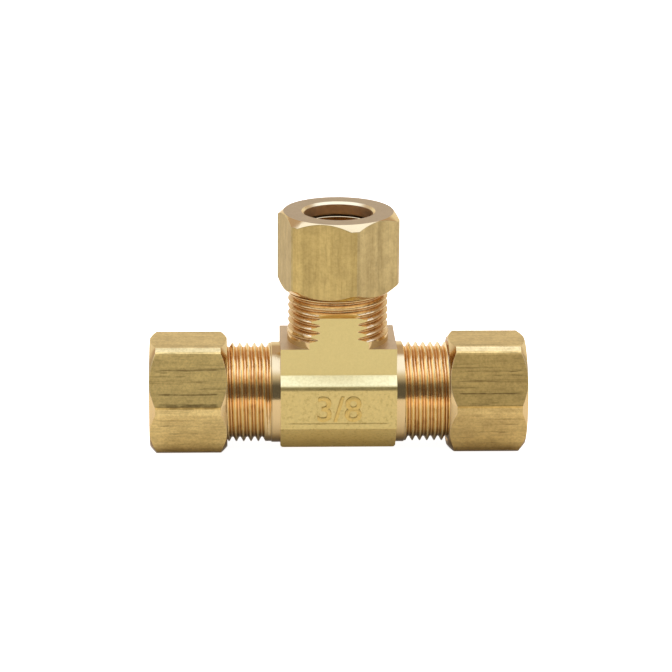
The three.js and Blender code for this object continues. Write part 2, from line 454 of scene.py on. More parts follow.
def settle(piece):
    """Works a piece's place, turn and scale into its mesh."""
    activate(piece)
    bpy.ops.object.transform_apply(location=True, rotation=True, scale=True)


def pick_all():
    bpy.ops.mesh.select_all(action="SELECT")


def tidy_mesh():
    """In edit mode, joins what meets and points every face outwards."""
    pick_all()
    bpy.ops.mesh.remove_doubles(threshold=MERGE)
    bpy.ops.mesh.normals_make_consistent(inside=False)


def trim(point, out):
    """In edit mode, cuts away what lies beyond a plane, and closes the cut."""
    pick_all()
    bpy.ops.mesh.bisect(plane_co=point, plane_no=out, use_fill=True, clear_outer=True,
                        threshold=MERGE)


def faces_up(face):
    return face.normal.z > FACING


def add_box(name, size, centre):
    """Adds a box of a size about its centre."""
    clear_selection()
    bpy.ops.mesh.primitive_cube_add(size=1, location=centre)
    piece = bpy.context.object
    piece.name = name
    piece.scale = size
    settle(piece)
    return piece


def draw_profile(name, points, closed):
    """Draws a line through (radius, distance) points, beside the Z axis."""
    clear_selection()
    radius, along = points[0]
    bpy.ops.mesh.primitive_plane_add(size=MM, location=(radius, 0, along))
    piece = bpy.context.object
    piece.name = name
    settle(piece)
    enter_edit()
    bpy.ops.mesh.select_mode(type="VERT")
    pick_all()
    bpy.ops.mesh.merge(type="CENTER")
    for (r0, s0), (r1, s1) in zip(points, points[1:]):
        step = {"value": (r1 - r0, 0, s1 - s0)}
        bpy.ops.mesh.extrude_region_move(TRANSFORM_OT_translate=step)
    if closed:
        pick_all()
        bpy.ops.mesh.edge_face_add()
    return piece


def turned(name, points, material, closed=False):
    """Spins a profile about Z. An open profile starts and ends on the axis."""
    piece = draw_profile(name, points, False)
    if closed:
        leave_edit()
        ends = (0, len(points) - 1)
        for vertex in piece.data.vertices:
            vertex.select = vertex.index in ends
        enter_edit()
        bpy.ops.mesh.edge_face_add()
    pick_all()
    bpy.ops.mesh.spin(steps=TURN_STEPS, angle=FULL_TURN, center=(0, 0, 0), axis=(0, 0, 1))
    tidy_mesh()
    leave_edit()
    piece.data.materials.append(material)
    return piece


def helix(name, points, pitch, turns, start, material):
    """Winds a closed profile round Z from the start angle, as a solid coil."""
    piece = draw_profile(name, points, True)
    leave_edit()
    piece.rotation_euler.z = start
    settle(piece)
    screw = piece.modifiers.new("wind", "SCREW")
    screw.axis = "Z"
    screw.angle = FULL_TURN
    screw.screw_offset = pitch
    screw.iterations = turns
    screw.steps = THREAD_STEPS
    screw.render_steps = THREAD_STEPS
    bpy.ops.object.modifier_apply(modifier=screw.name)
    enter_edit()
    bpy.ops.mesh.select_mode(type="EDGE")
    bpy.ops.mesh.select_all(action="DESELECT")
    bpy.ops.mesh.select_non_manifold()
    bpy.ops.mesh.fill_holes(sides=0)
    tidy_mesh()
    leave_edit()
    piece.data.materials.append(material)
    return piece


def combine(piece, tool, operation):
    """Joins, cuts or trims a piece with a tool, which is used up."""
    joined = piece.modifiers.new("combine", "BOOLEAN")
    joined.operation = operation
    joined.object = tool
    joined.solver = "EXACT"
    joined.material_mode = "TRANSFER"
    activate(piece)
    bpy.ops.object.modifier_apply(modifier=joined.name)
    mesh = tool.data
    bpy.data.objects.remove(tool)
    bpy.data.meshes.remove(mesh)


def lay_along(piece, side, height):
    """Turns a shape from a leg's own frame to the leg's direction, and lifts it."""
    piece.rotation_euler.y = math.radians(LEGS[side]["tilt"])
    piece.location.z = height
    settle(piece)


def smooth(piece, limit):
    """Smooths the shading of edges that turn less than the limit, in degrees."""
    activate(piece)
    bpy.ops.object.shade_smooth_by_angle(angle=math.radians(limit))
    weighted = piece.modifiers.new("normals", "WEIGHTED_NORMAL")
    weighted.keep_sharp = True
    weighted.weight = NORMAL_WEIGHT
    bpy.ops.object.modifier_apply(modifier=weighted.name)


def dress(piece, body, slot, *nodes):
    """Puts a finished piece on its body, in place of its CAD nodes."""
    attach(piece, body)
    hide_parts(*nodes)


# Shader maths


class Socket:
    """A shader socket that takes part in Python sums."""

    def __init__(self, graph, socket):
        self.graph = graph
        self.socket = socket

    def maths(self, operation, first, second=0.0):
        return self.graph.node("ShaderNodeMath", {0: first, 1: second}, operation=operation)

    def __add__(self, other):
        return self.maths("ADD", self, other)

    __radd__ = __add__

    def __sub__(self, other):
        return self.maths("SUBTRACT", self, other)

    def __rsub__(self, other):
        return self.maths("SUBTRACT", other, self)

    def __mul__(self, other):
        return self.maths("MULTIPLY", self, other)

    __rmul__ = __mul__

    def __pow__(self, other):
        return self.maths("POWER", self, other)

    def __abs__(self):
        return self.maths("ABSOLUTE", self)


class Graph:
    """The nodes of one material or of the world."""

    def __init__(self, tree):
        self.tree = tree
        tree.nodes.clear()

    def node(self, kind, inputs=None, output=0, **settings):
        """Adds a node, sets its settings, then its sockets, and returns an output."""
        made = self.tree.nodes.new(kind)
        for name, value in settings.items():
            setattr(made, name, value)
        for name, value in (inputs or {}).items():
            if isinstance(value, Socket):
                self.tree.links.new(value.socket, made.inputs[name])
            else:
                made.inputs[name].default_value = value
        return Socket(self, made.outputs[output]) if made.outputs else None

    def split(self, vector):
        found = self.node("ShaderNodeSeparateXYZ", {0: vector}).socket.node
        return [Socket(self, output) for output in found.outputs]

    def vector(self, x, y, z):
        return self.node("ShaderNodeCombineXYZ", {0: x, 1: y, 2: z})

    def noise(self, vector, scale, detail=2.0, roughness=0.5):
        return self.node("ShaderNodeTexNoise", {"Vector": vector, "Scale": scale,
                                                "Detail": detail, "Roughness": roughness})

    def ramp(self, value, low, high, start=0.0, end=1.0):
        """Goes smoothly from start to end as the value goes from low to high."""
        return self.node("ShaderNodeMapRange", {0: value, 1: low, 2: high, 3: start, 4: end},
                         interpolation_type="SMOOTHSTEP")

    def fade(self, value, limits, start=0.0, end=1.0):
        """A ramp between two limits in millimetres."""
        low, high = limits
        return self.ramp(value, low * MM, high * MM, start, end)

    def within(self, value, low, high, soft):
        """One between two limits, which are softened, and nothing outside them."""
        risen = self.ramp(value, low - soft, low + soft)
        return risen * self.ramp(value, high - soft, high + soft, 1.0, 0.0)

    def blend(self, factor, first, second):
        """Mixes two colours."""
        return self.node("ShaderNodeMix", {0: factor, 6: first, 7: second}, 2,
                         data_type="RGBA")

    def shades(self, factor, tone, low, high):
        """Goes from one shade of a colour to another."""
        return self.blend(factor, shade(tone, low), shade(tone, high))

    def tint(self, base, *layers):
        """Multiplies a colour by the tone of each layer, as far as the layer's factor says."""
        for factor, tone in layers:
            base = self.node("ShaderNodeMix", {0: factor, 6: base, 7: (*tone, 1.0)}, 2,
                             data_type="RGBA", blend_type="MULTIPLY")
        return base

    def bump(self, height, distance, strength):
        return self.node("ShaderNodeBump", {"Height": height, "Distance": distance,
                                            "Strength": strength})


def shade(base, factor):
    """A colour made lighter or darker by a factor, or by one for each channel."""
    factors = factor if isinstance(factor, tuple) else (factor,) * 3
    return (*[min(1.0, part * by) for part, by in zip(base, factors)], 1.0)


def brass(name, finish, *given):
    """A metal material, made on first use. Its finish gives its colour, gloss and relief."""
    material = bpy.data.materials.get(name)
    if material:
        return material
    material = bpy.data.materials.new(name)
    material.use_nodes = True
    graph = Graph(material.node_tree)
    base, rough, normal = finish(graph, graph.node("ShaderNodeTexCoord", None, 3), *given)
    surface = graph.node("ShaderNodeBsdfPrincipled",
                         {"Metallic": 1.0, "Base Color": base, "Roughness": rough,
                          "Normal": normal, "Specular Tint": EDGE_TINT})
    graph.node("ShaderNodeOutputMaterial", {"Surface": surface})
    return material


def leg_brass(kind, side, scene):
    """A brass that follows a leg: one for the run's two legs, and one for the branch."""
    along = LEGS[side]["along"]
    return brass(f"{kind}_{along.lower()}", LEG_FINISHES[kind], scene, along)


def leg_coordinates(graph, place, along):
    """Distance along a leg, distance from its axis, and the two directions across it."""
    x, y, z = graph.split(place)
    height = z - AXIS_HEIGHT
    if along == "X":
        across = (y, height)
        distance = abs(x)
    else:
        across = (x, y)
        distance = height
    radius = (across[0] * across[0] + across[1] * across[1]) ** 0.5
    return distance, radius, across


def forged_finish(graph, place, scene, tone):
    """Forged faces: smooth above the strip, with the die's fine grain below it."""
    look, sizes = scene.tee_finishes, scene.tee_block
    low, high = AXIS_HEIGHT + sizes.strip_low, AXIS_HEIGHT + sizes.strip_high
    x, _, z = graph.split(place)
    below = graph.ramp(z, high, low)
    cloud = graph.noise(place, 240.0, 3.0)
    grain = graph.noise(place, 2600.0, 2.0, 0.55)
    fine = graph.noise(place, 6500.0, 1.0)
    pits = graph.ramp(graph.noise(place, 2300.0, 2.0, 0.6), 0.52, 0.72)
    lumps = graph.ramp(grain, 0.36, 0.64)
    grained = below * 0.7 + 0.3
    # The die's crease: a real dip in the relief, and painted shade in its colour
    wander = (graph.noise(graph.vector(x, 0.0, 0.0), 900.0, 1.0) - 0.5) * CREASE_WANDER
    off_line = abs(z + wander - (AXIS_HEIGHT - sizes.crease))
    crease = graph.ramp(off_line, 0.0, sizes.crease_width, 1.0, 0.0)
    crease = crease * graph.fade(abs(x), CREASE_END, 1.0, 0.0)
    strip = graph.ramp(z, low, low + STRIP_RISE)
    strip = strip * graph.ramp(z, high - STRIP_EDGE, high + STRIP_EDGE, 1.0, 0.0)
    base = graph.shades(cloud, tone, 0.95, 1.05)
    base = graph.blend(below * 0.6, base, shade(tone, LOWER_TONE))
    # The last layer is painted shade near the bottom of the forging
    base = graph.tint(base, ((1.0 - lumps) * grained, GRAIN_TONE),
                      (graph.ramp(fine, 0.35, 0.65) * 0.7, FINE_GRAIN_TONE),
                      (pits * (below * 0.85 + 0.15), PIT_TONE), (crease, CREASE_SHADE_TONE),
                      (graph.fade(z, FORGED_SHADE_LIMITS, 1.0, 0.0), FORGED_SHADE_TONE))
    # Painted highlight on the strip, which faces the light above
    strip_highlight = strip * (1.0 - lumps * 0.25) * 0.85
    base = graph.blend(strip_highlight, base, shade(tone, STRIP_HIGHLIGHT_TONE))
    rough = look.forged_rough + (grain - 0.5) * 0.12 + (cloud - 0.5) * 0.06 + strip * 0.1
    height = (grain + fine * 0.4 - pits * 0.8) * grained - crease * 1.5
    return base, rough, graph.bump(height, FORGED_BUMP, 0.6)


def faced_finish(graph, place, scene):
    """Faced ends: dull and a little mottled, and darker on the branch nut's ring."""
    look = scene.tee_finishes
    height = graph.split(place)[2]
    cloud = graph.noise(place, 600.0, 3.0)
    grain = graph.noise(place, 3800.0, 2.0, 0.6)
    base = graph.shades(cloud, look.faced, 0.85, 1.12)
    base = graph.blend(grain * 0.4, base, shade(look.faced, 0.78))
    base = graph.tint(base, (graph.fade(height, RING_HEIGHT), RING_TONE))
    rough = look.faced_rough + (grain - 0.5) * 0.2
    return base, rough, graph.bump(grain, FACED_BUMP, 0.5)


def leg_painted_shade(graph, across, along):
    """The layer of painted shade that darkens the underside of the run's legs."""
    if along == "Z":
        return []
    return [(graph.fade(across[1], LEG_SHADE_LIMITS, 1.0, 0.0), LEG_SHADE_TONE)]


def turned_finish(graph, place, scene, along):
    """Lathe-cut faces: fine rings about the leg's axis."""
    look = scene.tee_finishes
    distance, radius, across = leg_coordinates(graph, place, along)
    tool_path = graph.vector(distance + radius * 0.83, 0.0, 0.0)
    ring = graph.noise(tool_path, 7000.0, 2.0, 0.6)
    band = graph.noise(tool_path, 1400.0, 1.0)
    smear = graph.noise(place, 420.0)
    base = graph.shades(ring, look.turned, 0.90, 1.08)
    base = graph.blend(smear * 0.4, base, shade(look.turned, 0.82))
    # Painted shade under the run's legs
    base = graph.tint(base, *leg_painted_shade(graph, across, along))
    rough = look.turned_rough + ring * 0.05 + band * 0.03
    return base, rough, graph.bump(ring + band * 0.8, TURNED_BUMP, 0.6)


def thread_finish(graph, place, scene, along):
    """Cut threads: ruddy in the roots, paler on the ridges, with broken chatter marks and
    painted shade.
    """
    look, crest, depth = scene.tee_finishes, scene.tee_legs.radius, scene.tee_thread.depth
    rattle, strength = CHATTER[along]
    distance, radius, across = leg_coordinates(graph, place, along)
    ring = graph.noise(graph.vector(distance + radius * 0.58, radius, 0.0), 6000.0, 2.0, 0.6)
    smear = graph.noise(place, 650.0, 3.0)
    chatter = graph.noise(graph.vector(*across, distance * 0.4), 1700.0)
    ridge = graph.ramp(radius, crest - depth, crest - depth * 0.15)
    if along == "X":
        # Painted shade on the lower half of the run's threads
        tint_and_shade = [(graph.fade(across[1], THREAD_SHADE_LIMITS, 1.0, 0.0), THREAD_SHADE_TONE)]
    else:
        # Painted shade on the branch thread's sides, over an even tint
        tint_and_shade = [(1.0, BRANCH_THREAD_TONE),
                 (graph.fade(abs(across[0]), THREAD_SIDE_SHADE_LIMITS), THREAD_SIDE_SHADE_TONE)]
    base = graph.blend(ridge, shade(look.root, 1.0), shade(look.thread, 1.0))
    base = graph.tint(base, (ring * 0.35, SPECK_TONE),
                      (graph.ramp(smear, 0.52, 0.72) * 0.6, SMEAR_TONE), *tint_and_shade,
                      *leg_painted_shade(graph, across, along))
    rough = look.turned_rough + 0.04 + ring * 0.06 + smear * 0.05
    height = ring + smear * 0.8 + chatter * rattle
    return base, rough, graph.bump(height, THREAD_BUMP, strength)


def bore_finish(graph, place, scene, along):
    """The nut's hole and cone, duller and browner than its turned mouth, which has a painted
    highlight.
    """
    look = scene.tee_finishes
    mouth = nut_reach(scene) - scene.tee_nuts.hole_chamfer
    distance, radius, across = leg_coordinates(graph, place, along)
    grain = graph.noise(place, 1500.0, 2.0, 0.6)
    ring = graph.noise(graph.vector(distance + radius, 0.0, 0.0), 5200.0, 2.0, 0.6)
    # Painted highlight on the turned mouth, stronger above on the run nuts and behind on the
    # branch nut
    edge = graph.ramp(distance, mouth - MOUTH_EDGE, mouth)
    edge = edge * graph.fade(across[1], MOUTH_HIGHLIGHT_FADE, 0.45, 1.0)
    base = graph.shades(grain, look.bore, 0.8, 1.1)
    base = graph.blend(ring * 0.5, base, shade(look.bore, 0.7))
    base = graph.blend(edge, base, shade(look.turned, MOUTH_HIGHLIGHT_TONE))
    rough = look.bore_rough + grain * 0.1 - edge * 0.1
    return base, rough, graph.bump(grain + ring, BORE_BUMP, 0.5)


def die_mark(graph, place, side, low, high):
    """A dark mark of the drawing die on a run nut's upper front flat, between two heights."""
    x, y, z = graph.split(place)
    wander = graph.noise(graph.vector(x, 0.0, side), 260.0) - 0.5
    height = z - AXIS_HEIGHT + wander * SCORE_WANDER
    there = graph.within(height, low * MM, high * MM, SCORE_SOFT)
    there = there * graph.fade(y * -1.0, SCORE_FRONT)
    ends = graph.fade(x * side, SCORE_START) * graph.fade(x * side, SCORE_END, 1.0, 0.0)
    broken = graph.noise(graph.vector(x, z * 3.0, 0.0), 700.0)
    return there * ends * graph.ramp(broken, 0.3, 0.55, 0.35, 1.0)


def outward(across, bearing):
    """How far out a point lies along a bearing, in degrees from the first of two directions."""
    turned_by = math.radians(bearing)
    return across[0] * math.cos(turned_by) + across[1] * math.sin(turned_by)


def on_flat(graph, across, bearing, nuts):
    """One on the nut's flat that faces a bearing, and nothing elsewhere."""
    out = outward(across, bearing)
    return graph.ramp(out, nuts.half_flats - FLAT_FADE, nuts.half_flats - FLAT_FADE / 2)


def drawn_run_tones(graph, place, across, nuts):
    """Layers of the run nuts: die marks, a painted corner highlight and flat tint, painted shade
    below.
    """
    right = graph.fade(graph.split(place)[0], RIGHT_HALF)
    top = on_flat(graph, across, TOP_FLAT, nuts)
    # Painted reflection tint on the upper front flat
    front = on_flat(graph, across, FRONT_FLAT, nuts)
    # Painted highlight along the upper front corner flat, stronger on the right nut
    corner = graph.fade(outward(across, FRONT_CORNER), CORNER_HIGHLIGHT_REACH)
    # Painted shade over the lowest part of each run nut
    nut_base_shade = graph.ramp(across[1] + nuts.half_flats, 0.0, NUT_SHADE_HEIGHT, 1.0, 0.0)
    marks = [(die_mark(graph, place, side, low, high) * depth, SCORE_TONE)
             for side, low, high, depth in SCORES]
    return [(right * (1.0 - top * 0.75), RIGHT_NUT_TONE), *marks, (front, FRONT_FLAT_REFLECTION_TONE),
            (corner * (right * 0.75 + 0.25), CORNER_HIGHLIGHT_TONE), (nut_base_shade, NUT_SHADE_TONE)]


def drawn_branch_tones(graph, place, across, nuts):
    """Layers of the branch nut: duller than the run's, in bands, two mottled flats with painted
    reflections.
    """
    bands = graph.noise(graph.vector(*across, 0.0), 560.0, 1.0)
    mottle = graph.ramp(graph.noise(place, 900.0, 3.0, 0.6), 0.35, 0.65, 0.82, 1.0)
    layers = [(1.0, BRANCH_NUT_TONE), (graph.ramp(bands, 0.42, 0.58), BAND_TONE)]
    turn = math.degrees(nuts.branch_turn)
    # Each of two flats gets a painted reflection tone for the way it faces the light, and a
    # mottle
    for bearing, tone in BRANCH_FLAT_REFLECTION_TONES:
        flat = on_flat(graph, across, turn + bearing, nuts)
        layers += [(flat, tone), (flat * (1.0 - mottle) * 2.0, MOTTLE_TONE)]
    return layers


def drawn_finish(graph, place, scene, along):
    """Drawn bar: long fine lines along the nut's flats, and some darker scores."""
    look = scene.tee_finishes
    lined, grained, tones = DRAWN_LOOKS[along]
    distance, _, across = leg_coordinates(graph, place, along)
    streak = graph.vector(across[0] + SHIFT, across[1], distance * 0.02)
    thread_like = graph.vector(*across, distance * 0.05)
    broken = graph.vector(across[0] + SHIFT, across[1], distance * 0.12)
    fine = graph.noise(streak, 4800.0, 2.0, 0.6)
    broad = graph.noise(streak, 1100.0)
    line = graph.ramp(graph.noise(streak, 2900.0, 2.0, 0.6), 0.54, 0.66)
    hair = graph.ramp(graph.noise(thread_like, 6500.0, 1.0), 0.55, 0.70)
    long_score = graph.ramp(graph.noise(streak, 1500.0, 1.0), 0.65, 0.71)
    short_score = graph.ramp(graph.noise(broken, 1900.0, 2.0, 0.6), 0.60, 0.70)
    patch = graph.ramp(graph.noise(broken, 900.0, 3.0, 0.6), 0.50, 0.66)
    cloud = graph.noise(place, 420.0, 3.0, 0.6)
    speck = graph.noise(place, 2600.0, 3.0, 0.7)
    base = graph.shades(broad, look.drawn, 0.84, 1.16)
    base = graph.tint(base, (line * (patch * 0.6 + 0.3) * lined, LINE_TONE),
                      (hair * 0.4 * lined, LINE_TONE), (patch * 0.25, LINE_TONE),
                      ((long_score * 0.4 + short_score * 0.45) * lined, SCORE_TONE),
                      (graph.ramp(speck, 0.42, 0.60) * grained, SPECK_TONE),
                      (graph.ramp(cloud, 0.38, 0.62) * 0.7, SPECK_TONE),
                      *tones(graph, place, across, scene.tee_nuts))
    rough = look.drawn_rough + (fine - 0.5) * 0.14 + (cloud - 0.5) * 0.10
    height = fine + broad * 1.2 - long_score * 1.5 - short_score - line * 0.5 + speck * 0.8
    return base, rough, graph.bump(height, DRAWN_BUMP, 0.6)


# How strongly the lines and the grain show on a nut, and its further layers
DRAWN_LOOKS = {"X": (1.0, 1.0, drawn_run_tones), "Z": (0.4, 0.6, drawn_branch_tones)}

LEG_FINISHES = {
    "turned_brass": turned_finish,
    "cut_thread": thread_finish,
    "drawn_brass": drawn_finish,
    "nut_bore": bore_finish,
}


# Body


def block(scene):
    """The forged block, eight-sided below, with a slimmer slab up to the top face."""
    sizes = scene.tee_block
    reach = sizes.flat_half * math.sqrt(2)
    slab_foot = sizes.strip_high
    strip_out = (sizes.strip_high - sizes.strip_low, sizes.flat_half - sizes.slab_half)
    piece = add_box("tee_body_dressed",
                    (sizes.half_width * 2, sizes.flat_half * 2, slab_foot + sizes.bottom),
                    (0, 0, (slab_foot - sizes.bottom) / 2))
    edit(piece)
    for side in (-1, 1):
        trim((0, side * reach, 0), (0, side, -1))
        trim((0, side * sizes.slab_half, slab_foot), (0, side * strip_out[0], strip_out[1]))
    select_parts(piece, "FACE", faces_up)
    rise = {"value": (0, 0, sizes.top - slab_foot)}
    bpy.ops.mesh.extrude_region_move(TRANSFORM_OT_translate=rise)
    tidy_mesh()

    def lengthwise(a, b):
        return abs(a.y - b.y) < NEAR and abs(a.z - b.z) < NEAR

    def lower_edge(a, b):
        return lengthwise(a, b) and a.z < 0

    def strip_edge(a, b):
        at_edge = abs(a.z - sizes.strip_low) < NEAR and abs(a.y) > sizes.slab_half
        return lengthwise(a, b) and at_edge

    select_edges(piece, lower_edge)
    soften_edges(sizes.edge_round, EDGE_STEPS)
    select_edges(piece, strip_edge)
    soften_edges(sizes.strip_round, STRIP_STEPS)
    for end in (-1, 1):
        centre = Vector((end * (sizes.half_width - sizes.end_round), 0,
                         sizes.end_round - sizes.bottom))
        for step in range(1, END_CUTS + 1):
            turn = math.radians(90) * step / (END_CUTS + 1)
            out = Vector((end * math.cos(turn), 0, -math.sin(turn)))
            trim(centre + out * sizes.end_round, out)
    tidy_mesh()
    leave_edit()
    forged = scene.tee_finishes.forged
    piece.data.materials.append(brass("forged_brass_grain", forged_finish, scene, forged))
    finish_faces(piece, brass("faced_brass", faced_finish, scene),
                 lambda face: faces_up(face) or abs(face.normal.x) > FACING)
    return piece


def leg(side, scene):
    """A leg's outside: the neck, the barrel and the lead chamfer."""
    legs, sizes = scene.tee_legs, scene.tee_block
    shoulder = sizes.top if side == "branch" else sizes.half_width
    neck_end = shoulder + legs.neck_length
    step = legs.neck_radius - legs.radius
    lead = legs.reach - (legs.radius - legs.end_radius)
    root = shoulder - LEG_SUNK
    points = [(0, root), (legs.neck_radius, root), (legs.neck_radius, neck_end),
              (legs.radius, neck_end + step), (legs.radius, lead),
              (legs.end_radius, legs.reach), (0, legs.reach)]
    return turned(f"{side}_leg", points, leg_brass("turned_brass", side, scene))


def groove_profile(legs, thread):
    """The groove's section, from its root out past the neck's radius."""
    flank = math.tan(THREAD_FLANK)
    outside = legs.neck_radius + GROOVE_RISE
    root = legs.radius - thread.depth
    wide = (thread.pitch - thread.crest_flat) / 2
    widest = wide + CREST_SOFT * 0.9
    half = [(root, thread.root_flat / 4),
            (root + thread.root_flat / 3, wide - (thread.depth - thread.root_flat / 3) * flank),
            (legs.radius - CREST_SOFT, wide - CREST_SOFT * flank),
            (legs.radius + CREST_SOFT * 0.2, widest), (outside, widest)]
    return [(r, -s) for r, s in reversed(half)] + half


def leg_groove(side, scene):
    """The coil that cuts a leg's thread, lifted out of the leg where the groove begins."""
    legs, thread = scene.tee_legs, scene.tee_thread
    pitch = thread.pitch
    start = math.radians(LEGS[side]["start"])
    phase = LEGS[side]["groove"] * MM + pitch / 2
    first = phase + pitch * start / FULL_TURN
    while first < GROOVE_FROM:
        first += pitch
    skipped = round((first - phase) / pitch - start / FULL_TURN)
    points = [(r, s + first) for r, s in groove_profile(legs, thread)]
    piece = helix(f"{side}_groove", points, pitch, thread.turns, start,
                  leg_brass("cut_thread", side, scene))
    for vertex in piece.data.vertices:
        turn = math.atan2(vertex.co.y, vertex.co.x)
        turn += FULL_TURN * round((vertex.co.z - phase - pitch * turn / FULL_TURN) / pitch)
        begun = turn - start - FULL_TURN * skipped
        share_in = min(1.0, max(0.0, begun / thread.fade))
        lift = (1 - share_in * share_in * (3 - 2 * share_in)) * (thread.depth + GROOVE_RISE)
        vertex.co += Vector((math.cos(turn), math.sin(turn), 0)) * lift
    return piece


def leg_inside(side, scene):
    """The passage, the ledge that stops the tube, the socket and the coned mouth."""
    legs = scene.tee_legs
    stop = legs.reach - legs.socket_depth
    seat = legs.reach - (legs.mouth_radius - legs.socket_radius) / math.tan(legs.seat_angle)
    point = legs.passage_radius / math.tan(legs.drill_angle)
    past = legs.reach + OVERRUN
    points = [(0, -legs.drill_overrun - point), (legs.passage_radius, -legs.drill_overrun),
              (legs.passage_radius, stop - LEDGE_EASE), (legs.passage_radius + LEDGE_EASE, stop),
              (legs.socket_radius, stop), (legs.socket_radius, seat),
              (legs.mouth_radius, legs.reach), (legs.mouth_radius, past), (0, past)]
    return turned(f"{side}_inside", points, leg_brass("turned_brass", side, scene))


def branch_flat(front, scene):
    """What the forging lacks in front of or behind the branch, with a slope at its top."""
    sizes = scene.tee_block
    outside = scene.tee_legs.neck_radius + OVERRUN
    top = sizes.top + sizes.branch_flat
    depth = outside - sizes.slab_half
    piece = add_box("flat", (outside * 2, depth, top),
                    (0, front * (outside + sizes.slab_half) / 2, top / 2))
    edit(piece)

    def outer_top(a, b):
        high = min(a.z, b.z) > top - NEAR
        return high and min(front * a.y, front * b.y) > outside - NEAR

    select_edges(piece, outer_top)
    bpy.ops.transform.translate(value=(0, 0, depth))
    tidy_mesh()
    leave_edit()
    piece.data.materials.append(bpy.data.materials["forged_brass_grain"])
    finish_faces(piece, leg_brass("cut_thread", "branch", scene),
                 lambda face: face.normal.z > SLOPING)
    return piece


def size_mark(scene):
    """The tube's size, raised on the front flat."""
    sizes, mark = scene.tee_block, scene.tee_mark
    clear_selection()
    bpy.ops.object.text_add(location=(0, -sizes.flat_half, AXIS_HEIGHT + mark.height),
                            rotation=(math.radians(90), 0, 0))
    text = bpy.context.object
    text.name = "size_mark"
    text.data.body = mark.text
    text.data.align_x = "CENTER"
    text.data.align_y = "CENTER"
    text.data.size = mark.size
    text.data.extrude = mark.rise
    text.data.bevel_depth = mark.soft
    text.data.bevel_resolution = FINE_STEPS
    bpy.ops.object.convert(target="MESH")
    piece = bpy.context.object
    settle(piece)
    enter_edit()
    tidy_mesh()
    leave_edit()
    piece.data.materials.clear()
    tone = scene.tee_finishes.mark
    piece.data.materials.append(brass("raised_mark", forged_finish, scene, tone))
    smooth(piece, MARK_SMOOTH)
    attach(piece, "tee")


class FITTING_OT_body(bpy.types.Operator):
    """Model the forged and threaded body of the tee"""

    bl_idname = "fitting.add_tee_body"
    bl_label = "Tee body"

    def execute(self, context):
        scene = context.scene
        body = block(scene)
        for side in LEGS:
            made = leg(side, scene)
            combine(made, leg_groove(side, scene), "DIFFERENCE")
            if side == "branch":
                for front in (-1, 1):
                    combine(made, branch_flat(front, scene), "DIFFERENCE")
            lay_along(made, side, 0.0)
            combine(body, made, "UNION")
        for side in LEGS:
            inside = leg_inside(side, scene)
            lay_along(inside, side, 0.0)
            combine(body, inside, "DIFFERENCE")
        body.location.z = AXIS_HEIGHT
        settle(body)
        smooth(body, SMOOTH)
        dress(body, "tee", "forged_brass", "tee_body")
        size_mark(scene)
        return {"FINISHED"}


# Nuts


def nut_outside(side, scene):
    """The hexagon with flattened corners, bevelled by turned chamfers at both ends."""
    nut = scene.tee_nuts
    outer = nut_reach(scene)
    inner = outer - nut.length
    corner = nut.half_flats / math.cos(HALF_SIDE)
    clear_selection()
    bpy.ops.mesh.primitive_cylinder_add(
        vertices=6, radius=corner, depth=nut.length + 2 * OVERRUN,
        location=(0, 0, (inner + outer) / 2))
    piece = bpy.context.object
    piece.name = f"{side}_nut_dressed"
    settle(piece)
    edit(piece)
    for softening, segments in ((nut.corner_flat, 1), (nut.edge_round, FINE_STEPS)):
        select_edges(piece, lambda a, b: abs(a.z - b.z) > nut.length / 2)
        soften_edges(softening, segments)
    leave_edit()
    piece.data.materials.append(leg_brass("drawn_brass", side, scene))
    widest = corner + OVERRUN
    fall = (widest - nut.ring_radius) * math.tan(nut.chamfer_angle)
    envelope = turned("envelope", [(0, inner), (nut.ring_radius, inner), (widest, inner + fall),
                                   (widest, outer - fall), (nut.ring_radius, outer),
                                   (0, outer)], leg_brass("turned_brass", side, scene))
    combine(piece, envelope, "INTERSECT")
    edit(piece)
    select_material_border(piece)
    soften_edges(nut.edge_round, FINE_STEPS)
    tidy_mesh()
    leave_edit()
    finish_faces(piece, brass("faced_brass", faced_finish, scene),
                 lambda face: abs(face.normal.z) > FACING)
    piece.rotation_euler.z = nut.branch_turn if side == "branch" else 0.0
    settle(piece)
    return piece


def nut_inside(side, scene):
    """The threaded bore's core, the pocket, the cone that drives the ferrule, and the hole."""
    nut, thread = scene.tee_nuts, scene.tee_thread
    start = cone_start(scene)
    outer = nut_reach(scene)
    inner = outer - nut.length
    cone_end = start - nut.cone_rise
    bore_end = cone_end - nut.pocket_length
    hole = nut.hole_radius
    mouth = hole + nut.hole_chamfer
    points = [(0, inner - OVERRUN), (nut.mouth_radius, inner - OVERRUN),
              (nut.mouth_radius, inner),
              (thread.nut_minor, inner + nut.mouth_radius - thread.nut_minor),
              (thread.nut_minor, bore_end), (nut.pocket_radius, bore_end),
              (nut.pocket_radius, cone_end), (hole + nut.cone_rise, cone_end), (hole, start),
              (hole, start + nut.hole_land), (mouth, outer), (mouth, outer + OVERRUN),
              (0, outer + OVERRUN)]
    return turned("core", points, leg_brass("nut_bore", side, scene))


def nut_groove(side, scene):
    """The coil that cuts the thread inside a nut, in step with the leg's ridges."""
    nut, thread = scene.tee_nuts, scene.tee_thread
    wide = GROOVE_TIP + (thread.nut_major - thread.nut_minor) * math.tan(THREAD_FLANK)
    inner = nut_reach(scene) - nut.length
    half = [(thread.nut_minor - GROOVE_SUNK, wide), (thread.nut_minor, wide),
            (thread.nut_major, GROOVE_TIP)]
    first = LEGS[side]["groove"] * MM
    while first < inner - thread.pitch:
        first += thread.pitch
    loop = [(r, -s) for r, s in half] + [(r, s) for r, s in reversed(half)]
    points = [(r, s + first) for r, s in loop]
    return helix("coil", points, thread.pitch, thread.nut_turns, 0.0,
                 leg_brass("cut_thread", side, scene))


